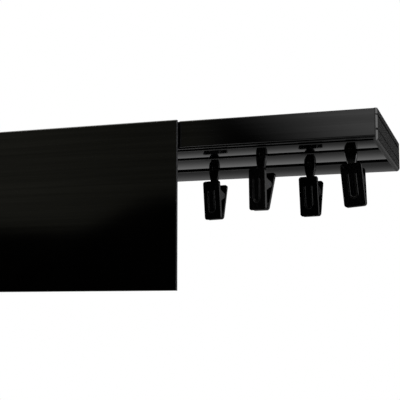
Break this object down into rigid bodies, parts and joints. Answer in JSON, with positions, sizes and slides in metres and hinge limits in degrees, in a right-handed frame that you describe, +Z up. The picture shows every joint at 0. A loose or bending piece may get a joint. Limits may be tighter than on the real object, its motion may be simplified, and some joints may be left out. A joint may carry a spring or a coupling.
{
  "type": "curtain track",
  "caption": "Ceiling curtain track with slotted channels, a clip-on front band, a deep fascia panel, end caps and swivelling crocodile clip hangers that slide along it.",
  "frame": {"origin": "in the ceiling plane, midway between the two screw holes, between the ends and between the two slots", "axes": "+X along the track towards the end with the front band, +Y from the covers to the rear, +Z up into the ceiling"},
  "size_m": [0.32, 0.0832, 0.07],
  "materials": {
    "track_plastic": "extruded gloss black plastic",
    "cap_plastic": "moulded black plastic, softly polished",
    "cover_plastic": "extruded gloss black plastic",
    "clip_plastic": "moulded black plastic",
    "glider_plastic": "moulded low-friction plastic",
    "spring_steel": "dark drawn spring wire",
    "pin_steel": "plain bright pin"
  },
  "bodies": {
    "track": {"track_profile": "track_plastic", "end_cap_right": "cap_plastic", "end_cap_left": "cap_plastic", "front_band": "cover_plastic", "fascia_panel": "cover_plastic"},
    "glider_1": {"clip_1_glider": "glider_plastic"},
    "clip_1": {"clip_1_front_jaw": "clip_plastic", "clip_1_pivot_pin": "pin_steel", "clip_1_spring": "spring_steel"},
    "jaw_1": {"clip_1_rear_jaw": "clip_plastic"},
    "glider_2": {"clip_2_glider": "glider_plastic"},
    "clip_2": {"clip_2_front_jaw": "clip_plastic", "clip_2_pivot_pin": "pin_steel", "clip_2_spring": "spring_steel"},
    "jaw_2": {"clip_2_rear_jaw": "clip_plastic"},
    "glider_3": {"clip_3_glider": "glider_plastic"},
    "clip_3": {"clip_3_front_jaw": "clip_plastic", "clip_3_pivot_pin": "pin_steel", "clip_3_spring": "spring_steel"},
    "jaw_3": {"clip_3_rear_jaw": "clip_plastic"},
    "glider_4": {"clip_4_glider": "glider_plastic"},
    "clip_4": {"clip_4_front_jaw": "clip_plastic", "clip_4_pivot_pin": "pin_steel", "clip_4_spring": "spring_steel"},
    "jaw_4": {"clip_4_rear_jaw": "clip_plastic"}
  },
  "joints": [
    {"name": "glider_1_slide", "type": "slide", "parent": "track", "child": "glider_1", "axis": [1, 0, 0], "range_m": [-0.2306, 0.0154]},
    {"name": "clip_1_swivel", "type": "hinge", "parent": "glider_1", "child": "clip_1", "pos_m": [0.0777, 0.0147, -0.0121], "axis": [0, 0, 1], "continuous": true},
    {"name": "jaw_1_open", "type": "hinge", "parent": "clip_1", "child": "jaw_1", "pos_m": [0.07784, 0.01518, -0.0248], "axis": [0.9613, -0.2756, 0], "range_deg": [0, 24], "stiffness_Nm_per_rad": 0.0003, "springref_deg": -34.38, "deforming": ["clip_1_spring"]},
    {"name": "glider_2_slide", "type": "slide", "parent": "track", "child": "glider_2", "axis": [1, 0, 0], "range_m": [-0.2609, 0.0117]},
    {"name": "clip_2_swivel", "type": "hinge", "parent": "glider_2", "child": "clip_2", "pos_m": [0.108, -0.0147, -0.012], "axis": [0.0523, 0, 0.9986], "continuous": true},
    {"name": "jaw_2_open", "type": "hinge", "parent": "clip_2", "child": "jaw_2", "pos_m": [0.10755, -0.01425, -0.02469], "axis": [0.9051, -0.4226, -0.0474], "range_deg": [0, 24], "stiffness_Nm_per_rad": 0.0003, "springref_deg": -34.38, "deforming": ["clip_2_spring"]},
    {"name": "glider_3_slide", "type": "slide", "parent": "track", "child": "glider_3", "axis": [1, 0, 0], "range_m": [-0.0154, 0.0299]},
    {"name": "clip_3_swivel", "type": "hinge", "parent": "glider_3", "child": "clip_3", "pos_m": [0.123, 0.0147, -0.0121], "axis": [0, 0, 1], "continuous": true},
    {"name": "jaw_3_open", "type": "hinge", "parent": "clip_3", "child": "jaw_3", "pos_m": [0.1231, 0.01519, -0.0248], "axis": [0.9816, -0.1908, 0], "range_deg": [0, 24], "stiffness_Nm_per_rad": 0.0003, "springref_deg": -34.38, "deforming": ["clip_3_spring"]},
    {"name": "glider_4_slide", "type": "slide", "parent": "track", "child": "glider_4", "axis": [1, 0, 0], "range_m": [-0.0117, 0.007]},
    {"name": "clip_4_swivel", "type": "hinge", "parent": "glider_4", "child": "clip_4", "pos_m": [0.1459, -0.0147, -0.01196], "axis": [-0.0698, 0, 0.9976], "continuous": true},
    {"name": "jaw_4_open", "type": "hinge", "parent": "clip_4", "child": "jaw_4", "pos_m": [0.14681, -0.0142, -0.02463], "axis": [0.9962, -0.0523, 0.0697], "range_deg": [0, 24], "stiffness_Nm_per_rad": 0.0003, "springref_deg": -34.38, "deforming": ["clip_4_spring"]}
  ]
}
